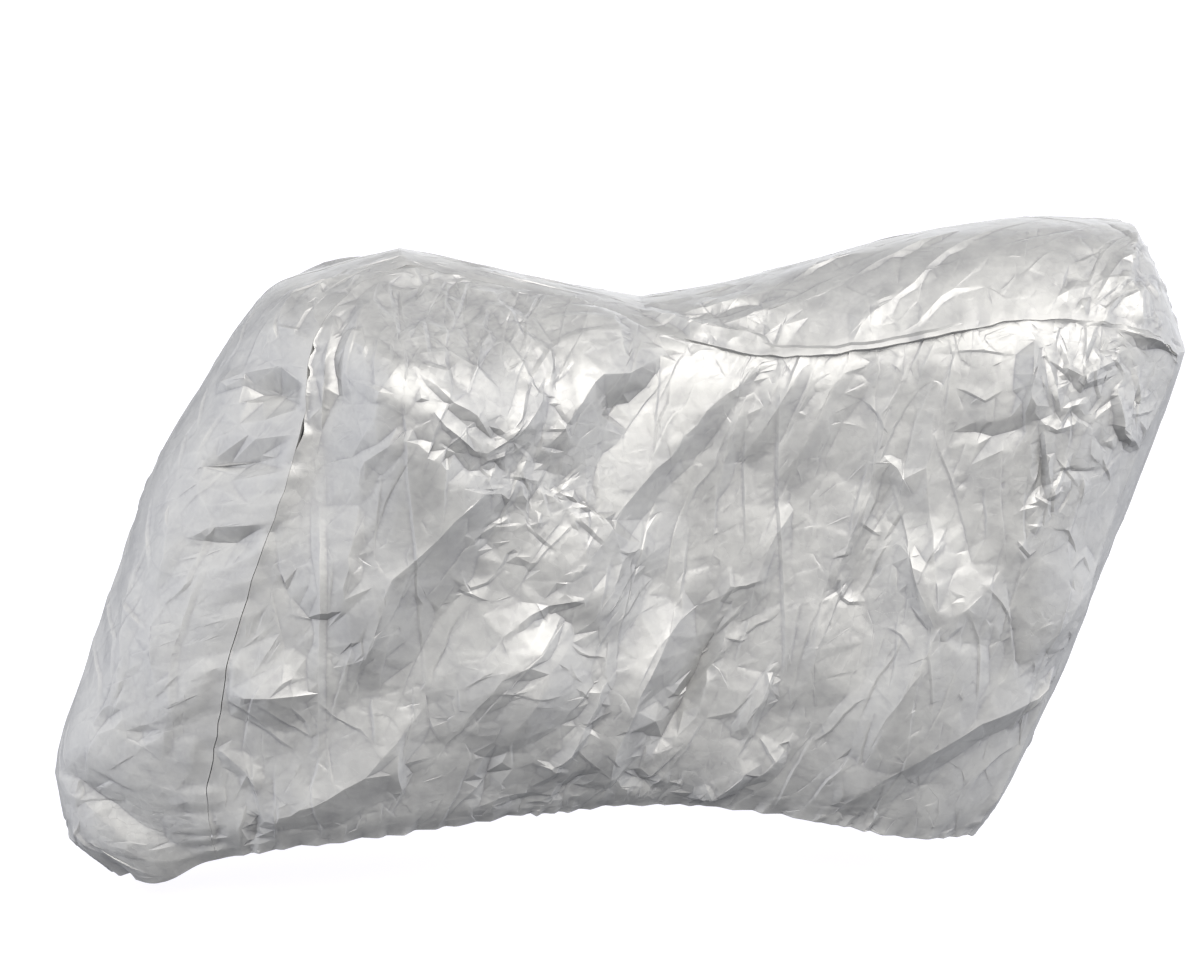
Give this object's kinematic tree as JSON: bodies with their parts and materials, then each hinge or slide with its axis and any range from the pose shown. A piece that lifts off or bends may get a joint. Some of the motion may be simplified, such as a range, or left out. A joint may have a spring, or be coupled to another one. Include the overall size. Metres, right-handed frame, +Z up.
{
  "type": "motorcycle cover",
  "caption": "Fitted silver-coated sheet cover with a drawn-in hem, hanging in crumpled folds as over a parked motorcycle, its side panels seamed to a long centre strip.",
  "frame": {"origin": "point under the cover's top, on its middle plane, where the saddle carries it", "axes": "+X along the length to the tail, +Y to the right-hand side, +Z up"},
  "size_m": [2.2033, 0.8096, 1.2657],
  "materials": {
    "silver_sheet": "silver-coated sheet, semi-gloss, crumpled"
  },
  "bodies": {
    "root": {"side_panel_left": "silver_sheet", "side_panel_right": "silver_sheet", "centre_strip": "silver_sheet"}
  },
  "joints": []
}
